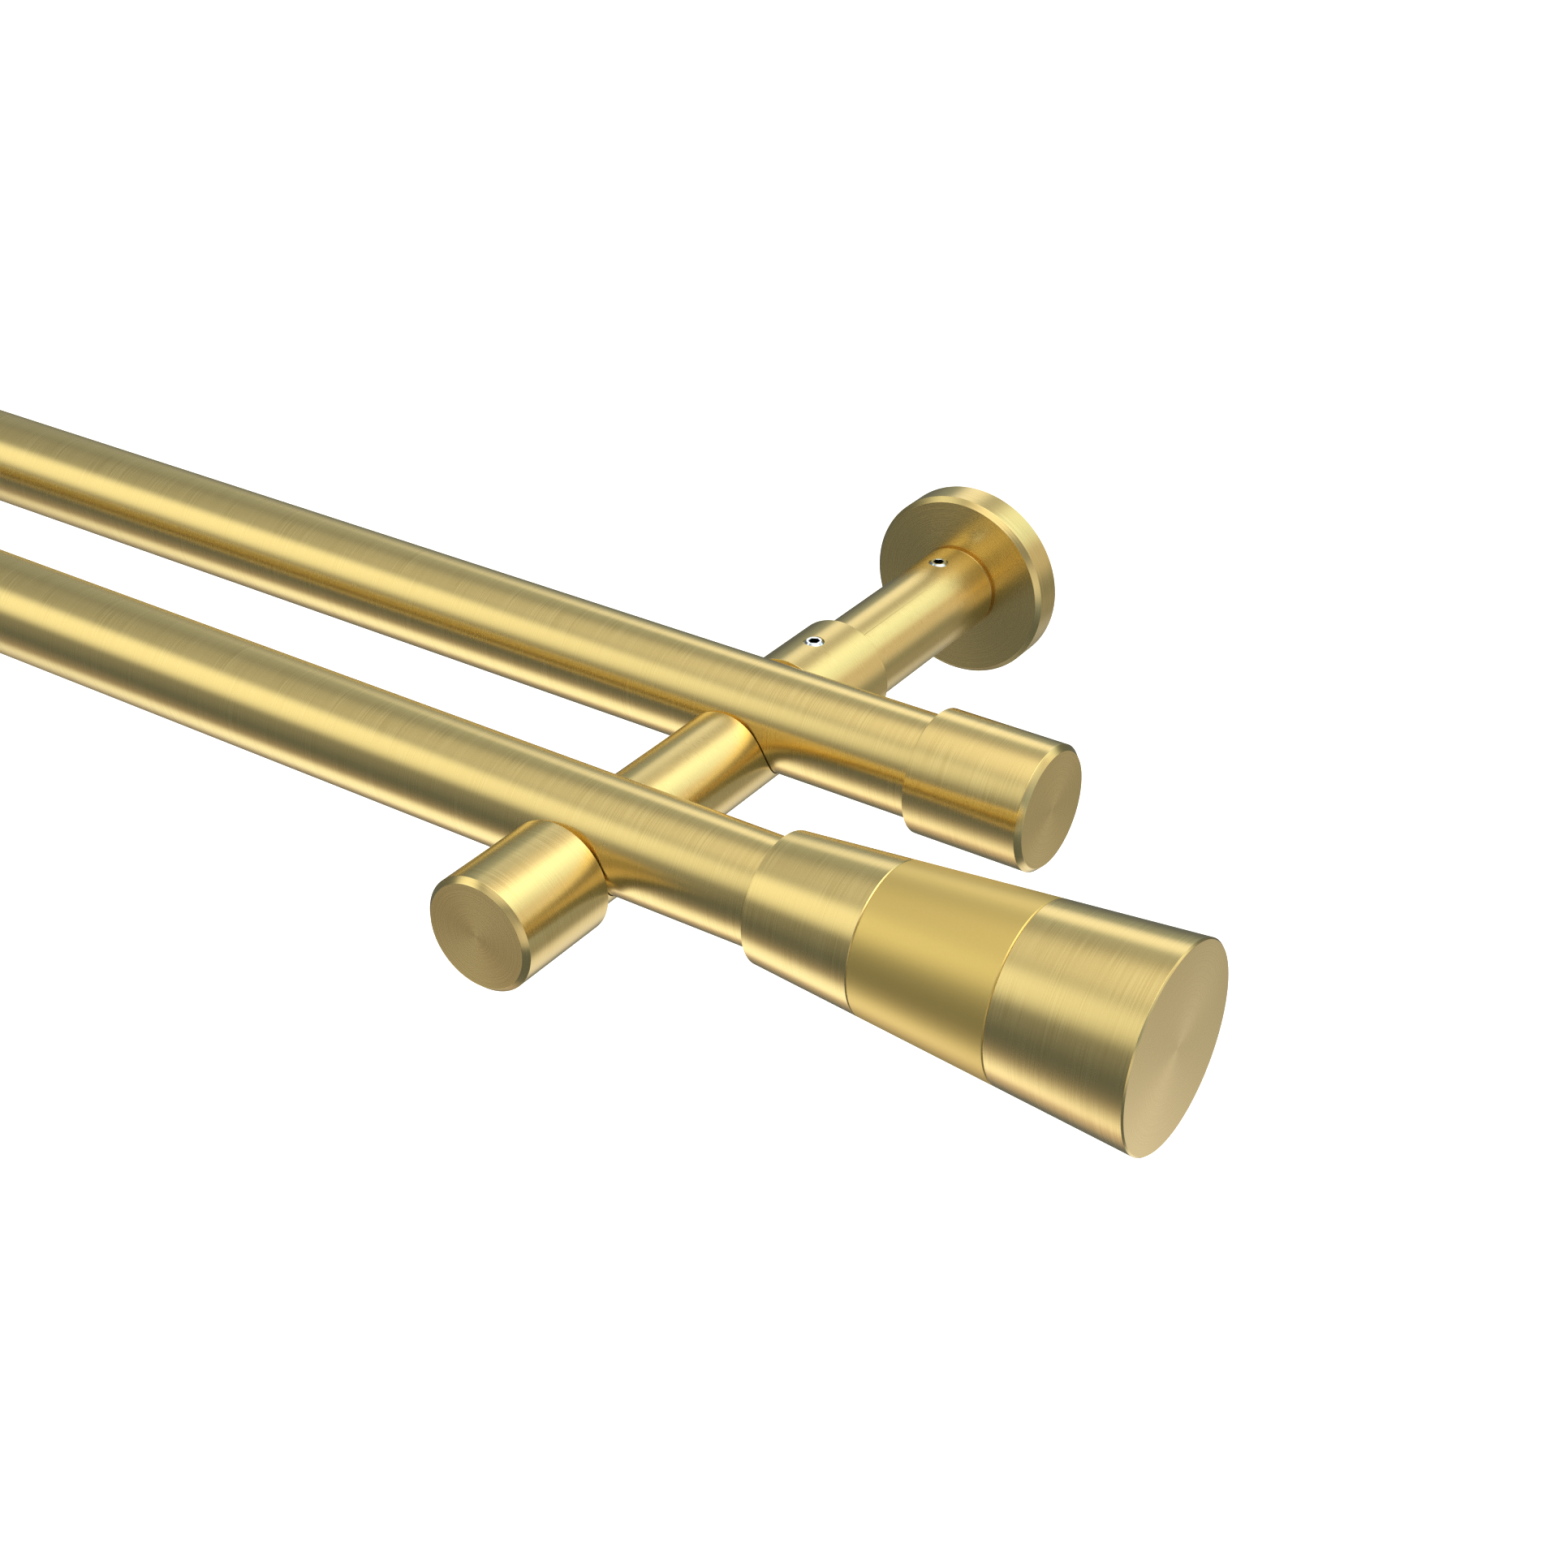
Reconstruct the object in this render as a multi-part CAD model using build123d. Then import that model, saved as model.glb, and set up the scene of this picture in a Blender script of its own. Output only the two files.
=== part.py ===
from build123d import *
import os

# A double-run curtain rod. Two tubes lie side by side in two wall brackets. The front tube has a
# conical finial in three sections on each end, and the rear tube a plain cap on each end.
# X runs along the tubes, +Y points to the wall and +Z up, in millimetres. The origin is on the wall,
# midway between the brackets and level with their arms.

# tubes
tube_length = 1000.0
tube_radius = 10.0
tube_wall = 1.0
tube_spacing = 50.0  # axis to axis
rear_tube_to_wall = 82.0
tube_rise = 5.0  # tube axes above the arm's axis
end_overhang = 40.0  # bracket axis to the inner end of a finial or cap
socket_depth = 16.0  # length of tube inside a finial or cap
socket_clearance = 0.1

# wall flange, with the boss that the stem seats on and the spigot that it slides over
flange_radius = 20.0
flange_thickness = 7.0
flange_chamfer = 1.0
boss_radius = 8.5
boss_height = 0.8
spigot_length = 16.0
spigot_clearance = 0.1
spigot_chamfer = 0.6
wall_hole_radius = 2.75
wall_hole_length = 3.5  # plain part of the hole, behind the countersink
screw_head_bore_radius = 5.0

# stem, a tube between the flange and the arm
stem_radius = 9.0
stem_wall = 2.0
stem_screw_to_wall = 15.0

# bracket arm, one turned bar: head, bar with two notches, and sleeve over the stem
head_radius = 11.0
head_length = 22.0
head_chamfer = 1.0
bar_radius = 9.0
notch_clearance = 0.2
sleeve_wall = 1.9  # around the bore for the stem
sleeve_length = 19.6
sleeve_web = 4.0  # metal between the rear notch and the bore
sleeve_clearance = 0.1

# set screws with a hexagon socket, all of one size
screw_radius = 2.0
screw_length = 3.0
screw_chamfer = 0.5
screw_socket_flats = 2.0
screw_socket_depth = 1.5
screw_play = 0.05  # around a screw in its threaded hole
screw_stand = 0.15  # top of a bracket's screw above the surface around it
screw_seat_play = 0.2  # around a screw's tip in a groove or a tube's hole

# countersunk screws that hold the tubes down in the arm's notches
hold_screw_radius = 1.75
hold_screw_head_radius = 3.4
hold_screw_length = 9.5
hold_screw_recess = 0.9  # head below the underside of the bar
hold_screw_play = 0.1
cross_width = 0.8
cross_length = 3.6
cross_depth = 1.2

# finial, a cone in three sections drawn together by a stud
finial_start_radius = 12.0
finial_end_radius = 18.0
first_section_length = 21.6
middle_section_length = 26.4
last_section_length = 25.3
seam_chamfer = 0.2
stud_radius = 3.0
stud_chamfer = 0.5
stud_play = 0.1
stud_in_last_section = 12.0

# cap
cap_radius = 12.0
cap_length = 24.0
cap_chamfer = 1.0

# set screws of the finial and the cap
end_screw_inset = 6.0  # from the inner end of a finial or cap
end_screw_bite = 0.9  # depth of the screw's tip in the tube's wall

cutter_margin = 1.0  # length of a cutter beyond the surface where it comes out

# places that follow from the sizes above
bracket_x = tube_length / 2 - end_overhang - socket_depth
rear_tube_y = -rear_tube_to_wall
front_tube_y = rear_tube_y - tube_spacing
notch_radius = tube_radius + notch_clearance
flange_face_y = -flange_thickness
boss_face_y = flange_face_y - boss_height
spigot_radius = stem_radius - stem_wall - spigot_clearance
groove_radius = stem_radius + screw_stand - screw_length
stem_screw_y = -stem_screw_to_wall
bore_radius = stem_radius + sleeve_clearance
sleeve_radius = bore_radius + sleeve_wall
sleeve_front_y = rear_tube_y + notch_radius
sleeve_back_y = sleeve_front_y + sleeve_length
sleeve_screw_y = (sleeve_front_y + sleeve_back_y) / 2
stem_bore_end_y = sleeve_front_y + sleeve_web
stem_front_y = stem_bore_end_y + sleeve_clearance
head_back_y = front_tube_y - notch_radius
head_face_y = head_back_y - head_length
stem_flat_z = sleeve_radius + screw_stand - screw_length
end_screw_x = bracket_x + end_overhang + end_screw_inset
end_screw_top = tube_radius - end_screw_bite + screw_length
socket_radius = tube_radius + socket_clearance
finial_length = first_section_length + middle_section_length + last_section_length
hold_screw_top_z = -bar_radius + hold_screw_recess

along_y = Rot(0, 0, 90)
along_z = Rot(0, -90, 0)


def turned(outline):
    """Solid turned about X from its half section, given as (place along X, radius)."""
    return revolve(make_face(Polyline(*outline, close=True)), Axis.X)


def vertical_hole(radius, place, low, high):
    """Cutter for a round vertical hole between two heights."""
    x, y = place
    return Pos(x, y, (low + high) / 2) * Cylinder(radius, high - low)


def tube(tube_y):
    """Tube with a hole over each bracket's screw and one at each end for the set screw."""
    tube_shape = Pos(0, tube_y, tube_rise) * Rot(0, 90, 0) * (
        Cylinder(tube_radius, tube_length) - Cylinder(tube_radius - tube_wall, tube_length)
    )
    for side in (-1, 1):
        hold_hole = vertical_hole(
            hold_screw_radius + hold_screw_play,
            (side * bracket_x, tube_y),
            tube_rise - tube_radius - cutter_margin,
            tube_rise,
        )
        end_hole = vertical_hole(
            screw_radius + screw_seat_play,
            (side * end_screw_x, tube_y),
            tube_rise - tube_radius - cutter_margin,
            tube_rise,
        )
        tube_shape -= hold_hole + end_hole
    return tube_shape


def wall_flange():
    """Disc with a low boss and a hollow spigot, one turned piece, with a countersunk hole through it."""
    tip_y = boss_face_y - spigot_length
    groove_half = screw_radius + screw_seat_play
    groove_depth = spigot_radius - groove_radius
    countersink_end_y = -wall_hole_length - (screw_head_bore_radius - wall_hole_radius)
    outline = [
        (0, wall_hole_radius),
        (0, flange_radius),
        (flange_face_y + flange_chamfer, flange_radius),
        (flange_face_y, flange_radius - flange_chamfer),
        (flange_face_y, boss_radius),
        (boss_face_y, boss_radius),
        (boss_face_y, spigot_radius),
        (stem_screw_y + groove_half + groove_depth, spigot_radius),
        (stem_screw_y + groove_half, groove_radius),
        (stem_screw_y - groove_half, groove_radius),
        (stem_screw_y - groove_half - groove_depth, spigot_radius),
        (tip_y + spigot_chamfer, spigot_radius),
        (tip_y, spigot_radius - spigot_chamfer),
        (tip_y, screw_head_bore_radius),
        (countersink_end_y, screw_head_bore_radius),
        (-wall_hole_length, wall_hole_radius),
    ]
    return Pos(bracket_x, 0, 0) * along_y * turned(outline)


def stem():
    """Tube from the flange's boss into the arm's sleeve, with a flat on top for the sleeve's screw."""
    inner_radius = stem_radius - stem_wall
    outline = [
        (boss_face_y, inner_radius),
        (boss_face_y, stem_radius),
        (stem_front_y, stem_radius),
        (stem_front_y, inner_radius),
    ]
    flat_end_y = sleeve_screw_y + screw_radius + screw_seat_play
    flat_length = flat_end_y - stem_front_y
    flat = Pos(0, stem_front_y, stem_flat_z) * Box(
        2 * stem_radius,
        flat_length,
        stem_radius,
        align=(Align.CENTER, Align.MIN, Align.MIN),
    )
    hole = vertical_hole(screw_radius + screw_play, (0, stem_screw_y), 0, stem_radius + cutter_margin)
    return Pos(bracket_x, 0, 0) * (along_y * turned(outline) - flat - hole)


def notch(tube_y):
    """Cutter for the notch that a tube lies in: round below, with upright walls above."""
    height = bar_radius + head_radius
    section = Circle(notch_radius) + Pos(0, height / 2) * Rectangle(2 * notch_radius, height)
    return extrude(Plane.YZ * Pos(tube_y, tube_rise) * section, amount=bar_radius + cutter_margin, both=True)


def hold_screw_hole(tube_y):
    """Cutter for the countersunk hole under a notch."""
    shank = hold_screw_radius + hold_screw_play
    head = hold_screw_head_radius + hold_screw_play
    outline = [
        (-bar_radius - cutter_margin, 0),
        (-bar_radius - cutter_margin, head),
        (hold_screw_top_z, head),
        (hold_screw_top_z + head - shank, shank),
        (tube_rise, shank),
        (tube_rise, 0),
    ]
    return Pos(0, tube_y, 0) * along_z * turned(outline)


def bracket_arm():
    """Head, notched bar and sleeve, one piece turned from solid bar."""
    outline = [
        (head_face_y, 0),
        (head_face_y, head_radius - head_chamfer),
        (head_face_y + head_chamfer, head_radius),
        (head_back_y, head_radius),
        (head_back_y, bar_radius),
        (sleeve_front_y, bar_radius),
        (sleeve_front_y, sleeve_radius),
        (sleeve_back_y, sleeve_radius),
        (sleeve_back_y, bore_radius),
        (stem_bore_end_y, bore_radius),
        (stem_bore_end_y, 0),
    ]
    arm = along_y * turned(outline)
    for tube_y in (front_tube_y, rear_tube_y):
        arm -= notch(tube_y)
        arm -= hold_screw_hole(tube_y)
    arm -= vertical_hole(screw_radius + screw_play, (0, sleeve_screw_y), 0, sleeve_radius + cutter_margin)
    return Pos(bracket_x, 0, 0) * arm


def set_screw():
    """Headless screw along Z with its top at the origin and a hexagon socket in it."""
    outline = [
        (-screw_length, 0),
        (-screw_length, screw_radius - screw_chamfer),
        (-screw_length + screw_chamfer, screw_radius),
        (-screw_chamfer, screw_radius),
        (0, screw_radius - screw_chamfer),
        (0, 0),
    ]
    hexagon = RegularPolygon(screw_socket_flats / 2, 6, major_radius=False, rotation=30)
    return along_z * turned(outline) - extrude(hexagon, amount=-screw_socket_depth)


def bracket_screw(screw_y, surface_radius):
    """Set screw on top of the stem or the sleeve."""
    return Pos(bracket_x, screw_y, surface_radius + screw_stand) * set_screw()


def hold_screw(tube_y):
    """Countersunk screw from below, through the arm into the tube's wall, with a cross recess."""
    cone_end_z = hold_screw_top_z + hold_screw_head_radius - hold_screw_radius
    tip_z = hold_screw_top_z + hold_screw_length
    outline = [
        (hold_screw_top_z, 0),
        (hold_screw_top_z, hold_screw_head_radius),
        (cone_end_z, hold_screw_radius),
        (tip_z - hold_screw_radius, hold_screw_radius),
        (tip_z, 0),
    ]
    screw = along_z * turned(outline)
    for angle in (0, 90):
        screw -= Pos(0, 0, hold_screw_top_z + cross_depth / 2) * Rot(0, 0, angle) * Box(
            cross_length, cross_width, cross_depth
        )
    return Pos(bracket_x, tube_y, 0) * screw


def cone_radius(place):
    """Radius of the finial at a distance from its inner end."""
    slope = (finial_end_radius - finial_start_radius) / finial_length
    return finial_start_radius + slope * place


def on_tube_end(shape, tube_y):
    """Moves a turned end piece from the origin to the inner end of its place on a tube."""
    return Pos(bracket_x + end_overhang, tube_y, tube_rise) * shape


def end_screw_hole():
    """Cutter for the set screw on the underside of an end piece."""
    return vertical_hole(screw_radius + screw_play, (end_screw_inset, 0), -finial_end_radius, 0)


def finial_base():
    """First section, with the socket for the tube and a threaded hole for the stud."""
    hole_radius = stud_radius + stud_play
    end = first_section_length
    outline = [
        (0, socket_radius),
        (0, cone_radius(0)),
        (end - seam_chamfer, cone_radius(end - seam_chamfer)),
        (end, cone_radius(end) - seam_chamfer),
        (end, hole_radius),
        (socket_depth, hole_radius),
        (socket_depth, socket_radius),
    ]
    return on_tube_end(turned(outline) - end_screw_hole(), front_tube_y)


def finial_band():
    """Middle section, a thick ring around the stud."""
    hole_radius = stud_radius + stud_play
    start = first_section_length
    end = start + middle_section_length
    outline = [
        (start, hole_radius),
        (start, cone_radius(start) - seam_chamfer),
        (start + seam_chamfer, cone_radius(start + seam_chamfer)),
        (end - seam_chamfer, cone_radius(end - seam_chamfer)),
        (end, cone_radius(end) - seam_chamfer),
        (end, hole_radius),
    ]
    return on_tube_end(turned(outline), front_tube_y)


def finial_tip():
    """Last section, solid, with a blind hole for the stud."""
    hole_radius = stud_radius + stud_play
    start = first_section_length + middle_section_length
    end = finial_length
    hole_end = start + stud_in_last_section
    outline = [
        (start, hole_radius),
        (start, cone_radius(start) - seam_chamfer),
        (start + seam_chamfer, cone_radius(start + seam_chamfer)),
        (end - seam_chamfer, cone_radius(end - seam_chamfer)),
        (end, cone_radius(end) - seam_chamfer),
        (end, 0),
        (hole_end, 0),
        (hole_end, hole_radius),
    ]
    return on_tube_end(turned(outline), front_tube_y)


def finial_stud():
    """Threaded stud from the tube's side of the first section to the end of its hole in the last."""
    start = socket_depth
    end = first_section_length + middle_section_length + stud_in_last_section
    outline = [
        (start, 0),
        (start, stud_radius - stud_chamfer),
        (start + stud_chamfer, stud_radius),
        (end - stud_chamfer, stud_radius),
        (end, stud_radius - stud_chamfer),
        (end, 0),
    ]
    return on_tube_end(turned(outline), front_tube_y)


def end_cap():
    """Cap of the rear tube, with the same socket as the finial's first section."""
    outline = [
        (0, socket_radius),
        (0, cap_radius),
        (cap_length - cap_chamfer, cap_radius),
        (cap_length, cap_radius - cap_chamfer),
        (cap_length, 0),
        (socket_depth, 0),
        (socket_depth, socket_radius),
    ]
    return on_tube_end(turned(outline) - end_screw_hole(), rear_tube_y)


def end_screw(tube_y):
    """Set screw on the underside of a finial or cap, with its tip in the tube's hole."""
    return Pos(end_screw_x, tube_y, tube_rise - end_screw_top) * Rot(180, 0, 0) * set_screw()


right_pieces = {
    "wall_flange": wall_flange(),
    "stem": stem(),
    "stem_screw": bracket_screw(stem_screw_y, stem_radius),
    "bracket_arm": bracket_arm(),
    "sleeve_screw": bracket_screw(sleeve_screw_y, sleeve_radius),
    "front_hold_screw": hold_screw(front_tube_y),
    "rear_hold_screw": hold_screw(rear_tube_y),
    "finial_base": finial_base(),
    "finial_band": finial_band(),
    "finial_tip": finial_tip(),
    "finial_stud": finial_stud(),
    "finial_screw": end_screw(front_tube_y),
    "end_cap": end_cap(),
    "cap_screw": end_screw(rear_tube_y),
}

pieces = {"front_tube": tube(front_tube_y), "rear_tube": tube(rear_tube_y)}
for name, shape in right_pieces.items():
    pieces[name + "_right"] = shape
    pieces[name + "_left"] = mirror(shape, about=Plane.YZ)

os.makedirs("parts", exist_ok=True)
for name, shape in pieces.items():
    export_step(shape, f"parts/{name}.step")
    print(name, round(shape.volume, 1))
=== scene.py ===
import bpy
import math
import numpy as np
from mathutils import Matrix, Vector


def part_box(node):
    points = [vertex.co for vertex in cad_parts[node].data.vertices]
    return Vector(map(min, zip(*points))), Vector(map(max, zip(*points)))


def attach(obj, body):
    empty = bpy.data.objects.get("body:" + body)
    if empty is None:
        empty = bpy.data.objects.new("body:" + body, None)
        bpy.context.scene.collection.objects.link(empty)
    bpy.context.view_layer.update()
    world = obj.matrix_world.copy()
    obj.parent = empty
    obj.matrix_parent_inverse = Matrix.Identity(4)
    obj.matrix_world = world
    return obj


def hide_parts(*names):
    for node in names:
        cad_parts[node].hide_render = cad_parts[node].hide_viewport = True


# A double-run curtain rod in brushed brass: two tubes, two wall brackets, two finials and two caps.
# Lengths in the dictionaries are millimetres; meshes are metres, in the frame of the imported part.

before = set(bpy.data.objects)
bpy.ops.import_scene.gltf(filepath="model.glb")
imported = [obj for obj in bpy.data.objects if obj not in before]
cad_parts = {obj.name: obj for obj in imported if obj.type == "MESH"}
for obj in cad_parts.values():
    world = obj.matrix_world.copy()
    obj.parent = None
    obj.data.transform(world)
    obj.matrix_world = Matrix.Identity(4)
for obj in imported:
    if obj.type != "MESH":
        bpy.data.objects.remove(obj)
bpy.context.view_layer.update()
scene = bpy.context.scene
scene.view_settings.view_transform = "Standard"
mm = 0.001
brushMap = "brush"  # UV map of every new piece: U along the outline, V around the axis, both in mm


def middle(node):
    low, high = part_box(node)
    return np.array((low + high) / 2)


def span(node, axis):
    low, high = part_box(node)
    return low[axis] / mm, high[axis] / mm


bracketX = middle("bracket_arm_right")[0] / mm
frontY, rearY = middle("front_tube")[1] / mm, middle("rear_tube")[1] / mm
tubeZ = middle("front_tube")[2] / mm
sides = {"right": 1, "left": -1}
sharpAngle = 35  # degrees; flatter edges are shaded smooth
past = 3.0  # mm by which the drills reach past the metal
cutterEdge = 0.01  # mm, so nearly sharp
fineAround = 256  # steps round the largest pieces
print("frame:", len(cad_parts), "nodes, bracket at", round(bracketX, 1), "mm")


# surfaces

def rounded(corners, edge, closed, steps=4):
    # Each corner becomes an arc of radius edge that touches both of its runs:
    # arc(t) = centre + (sin((1 - t) w) * first + sin(t w) * last) / sin(w), where w is the turn.
    corner = np.array(corners, float)
    back, ahead = np.roll(corner, 1, 0) - corner, np.roll(corner, -1, 0) - corner
    toBack = back / np.linalg.norm(back, axis=1)[:, None]
    toAhead = ahead / np.linalg.norm(ahead, axis=1)[:, None]
    opening = np.arccos(np.clip((toBack * toAhead).sum(1), -1, 1))[:, None]
    reach = edge / np.tan(opening / 2)
    inward = toBack + toAhead
    centre = corner + inward / np.linalg.norm(inward, axis=1)[:, None] * edge / np.sin(opening / 2)
    first, last = corner + toBack * reach - centre, corner + toAhead * reach - centre
    turn = (math.pi - opening)[:, :, None]
    t = np.linspace(0, 1, steps + 1)[None, :, None]
    spread = np.sin((1 - t) * turn) * first[:, None] + np.sin(t * turn) * last[:, None]
    arcs = centre[:, None] + spread / np.sin(turn)
    if closed:
        return arcs.reshape(-1, 2)
    return np.concatenate([corner[:1], arcs[1:-1].reshape(-1, 2), corner[-1:]])


def turnedMesh(name, outline, along, centre, edge=0.08, around=192):
    # Surface of revolution, with a = 0 at the underside:
    # point(i, a) = centre + place[i] * along + radius[i] * (sin a * side - cos a * up).
    # An outline that starts and ends on the axis closes in two poles.
    closed = outline[0][1] > 0
    profile = rounded(outline, edge, closed)
    place, radius = profile[:, 0], profile[:, 1]
    along = Vector(along).normalized()
    up = Vector((0, 0, 1)) if abs(along.z) < 0.5 else Vector((0, 1, 0))
    side, up, along = np.array(up.cross(along)), np.array(up), np.array(along)
    angle = np.linspace(0, 2 * math.pi, around + 1)
    ring = np.sin(angle)[None, :, None] * side - np.cos(angle)[None, :, None] * up
    point = np.array(centre) + place[:, None, None] * along + radius[:, None, None] * ring[:, :-1]
    count = len(profile)
    travel = np.concatenate([[0], np.cumsum(np.linalg.norm(np.diff(profile, axis=0), axis=1))])
    loopEnd = travel[-1] + np.linalg.norm(profile[0] - profile[-1])
    uCoordinate = np.concatenate([travel, [loopEnd]])
    vCoordinate = angle * radius.max()
    rows = np.arange(count if closed else count - 1)[:, None]
    columns = np.arange(around)[None, :]
    nextRow, nextColumn = (rows + 1) % count, (columns + 1) % around
    quads = np.stack([rows * around + columns, rows * around + nextColumn,
                      nextRow * around + nextColumn, nextRow * around + columns], -1).reshape(-1, 4)
    uv = np.stack([
        np.stack(np.broadcast_arrays(uCoordinate[rows], vCoordinate[columns]), -1),
        np.stack(np.broadcast_arrays(uCoordinate[rows], vCoordinate[columns + 1]), -1),
        np.stack(np.broadcast_arrays(uCoordinate[rows + 1], vCoordinate[columns + 1]), -1),
        np.stack(np.broadcast_arrays(uCoordinate[rows + 1], vCoordinate[columns]), -1),
    ], -2).reshape(-1, 4, 2)
    vertices = point.reshape(-1, 3)
    if not closed:  # the first and last rings shrink to one vertex each
        keep = np.full(count * around, -1)
        keep[:around], keep[-around:] = 0, (count - 2) * around + 1
        keep[around:-around] = 1 + np.arange((count - 2) * around)
        vertices = np.concatenate([point[0, :1], point[1:-1].reshape(-1, 3), point[-1, :1]])
        quads = keep[quads]
    return meshFrom(name, vertices * mm, quads.tolist(), uv)


def prismMesh(name, section, along, centre, reach):
    # A closed section carried straight: point(i, end) = centre + section[i] + along * (-reach or +reach).
    section, along = np.array(section, float), np.array(along, float)
    count = len(section)
    vertices = np.concatenate([centre + section - along * reach, centre + section + along * reach])
    index = np.arange(count)
    ahead = (index + 1) % count
    walls = np.stack([index, ahead, ahead + count, index + count], 1).tolist()
    ends = [list(index[::-1]), list(index + count)]
    step = np.linalg.norm(section[ahead] - section, axis=1)
    travel = np.concatenate([[0], np.cumsum(step)])
    wallUv = [np.array([(-reach, low), (-reach, high), (reach, high), (reach, low)])
              for low, high in zip(travel[:-1], travel[1:])]
    endUv = [section[end % count][:, np.argsort(along)[:2]] for end in (index[::-1], index)]
    return meshFrom(name, vertices * mm, walls + ends, wallUv + endUv)


def meshFrom(name, vertices, faces, uv):
    # Drops repeated corners, as at a pole, and turns the faces outwards where the volume comes out negative.
    loops, corners = [], []
    for face in faces:
        fresh = [k for k in range(len(face)) if face[k] != face[k - 1]]
        loops.append([face[k] for k in fresh])
        corners.append(fresh)
    mesh = bpy.data.meshes.new(name)
    mesh.from_pydata(vertices, [], loops)
    layer = mesh.uv_layers.new(name=brushMap)
    if uv is not None:
        flat = np.concatenate([uv[n][c] for n, c in enumerate(corners)])
        layer.data.foreach_set("uv", flat.astype(np.float32).ravel())
    mesh.update()
    triangles = np.zeros(len(mesh.loop_triangles) * 3, np.int32)
    mesh.loop_triangles.foreach_get("vertices", triangles)
    a, b, c = (np.array(vertices)[triangles.reshape(-1, 3)[:, k]] for k in range(3))
    if (a * np.cross(b, c)).sum() < 0:
        mesh.flip_normals()
    return mesh


def addObject(name, mesh):
    piece = bpy.data.objects.new(name, mesh)
    scene.collection.objects.link(piece)
    return piece


def cut(piece, cutters):
    # Takes the cutters' meshes out of the piece and removes them.
    tools = [addObject("cutter", mesh) for mesh in cutters]
    for tool in tools:
        modifier = piece.modifiers.new("cut", "BOOLEAN")
        modifier.operation, modifier.solver, modifier.object = "DIFFERENCE", "EXACT", tool
    graph = bpy.context.evaluated_depsgraph_get()
    done = bpy.data.meshes.new_from_object(piece.evaluated_get(graph))
    piece.modifiers.clear()
    done.materials.clear()
    piece.data = done
    for tool in tools:
        bpy.data.objects.remove(tool)
    return piece


def polygonData(mesh, name, width):
    data = np.zeros(len(mesh.polygons) * width, np.float32)
    mesh.polygons.foreach_get(name, data)
    return data.reshape(-1, width)


def markFinishes(piece, axis, sandedFrom=None):
    # Flat ends square to the axis take the second finish, and sides beyond sandedFrom on the axis the third.
    mesh = piece.data
    squareEnough = 0.99  # cosine of a face's lean from the axis
    kind = (np.abs(polygonData(mesh, "normal", 3)[:, axis]) > squareEnough).astype(np.int32)
    if sandedFrom is not None:
        beyond = polygonData(mesh, "center", 3)[:, axis] > sandedFrom * mm
        kind = np.where(beyond & (kind == 0), 2, kind).astype(np.int32)
    mesh.polygons.foreach_set("material_index", kind)
    return piece


def finishPiece(piece, node, side, finishes):
    # Mirrors a left piece, shades it smooth between its sharp edges and lets it stand for its CAD node.
    if side < 0:
        piece.data.transform(Matrix.Diagonal((-1, 1, 1, 1)))
        piece.data.flip_normals()
    mesh = piece.data
    mesh.polygons.foreach_set("use_smooth", np.ones(len(mesh.polygons), bool))
    mesh.set_sharp_from_angle(angle=math.radians(sharpAngle))
    weighted = piece.modifiers.new("even shading", "WEIGHTED_NORMAL")
    weighted.keep_sharp = True
    for finish in finishes:
        mesh.materials.append(finish)
    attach(piece, "root")
    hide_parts(node)
    return piece


# finishes

def linearColour(code):
    # sRGB hex to linear: c / 12.92 below 0.04045, else ((c + 0.055) / 1.055) ** 2.4
    parts = np.array([int(code[k:k + 2], 16) / 255 for k in (1, 3, 5)])
    linear = np.where(parts <= 0.04045, parts / 12.92, ((parts + 0.055) / 1.055) ** 2.4)
    return (*linear.tolist(), 1)


def addNode(tree, kind, sockets=None, **settings):
    node = tree.nodes.new(kind)
    for key, value in settings.items():
        setattr(node, key, value)
    for key, value in (sockets or {}).items():
        if isinstance(value, bpy.types.NodeSocket):
            tree.links.new(value, node.inputs[key])
        else:
            node.inputs[key].default_value = value
    return node


def newFinish(name):
    finish = bpy.data.materials.new(name)
    finish.use_nodes = True
    tree = finish.node_tree
    tree.nodes.clear()
    return finish, tree


brass = {
    "lit": "#F4DB97",  # the metal under white light, on the marks and between them
    "between": "#E8CE8A",
}
# How a surface was worked: width, length and depth of its marks in mm, how far they lift and lower the
# roughness, and how much of them is left between the patches in which they gather. Brush marks and turning
# rings are drawn two or three times as coarse as real ones, which a picture of the whole rod would not show.
brushed = {
    "across": 0.25, "along": 14.0, "depth": 0.00005, "roughness": 0.27, "lift": 0.008,
    "anisotropy": 0.65, "calm": 0.25,
}
faced = {
    "across": 0.24, "along": 1e5, "depth": 0.0006, "roughness": 0.27, "lift": 0.02,
    "anisotropy": 0.55, "calm": 0.6,
}
sanded = {
    "across": 0.10, "along": 2.0, "depth": 0.00004, "roughness": 0.27, "lift": 0.008,
    "anisotropy": 0.60, "calm": 0.2,
}
patches = {"across": 4.0, "along": 8.0, "from": 0.42, "to": 0.62}  # mm, and the noise at a patch's edge


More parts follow.
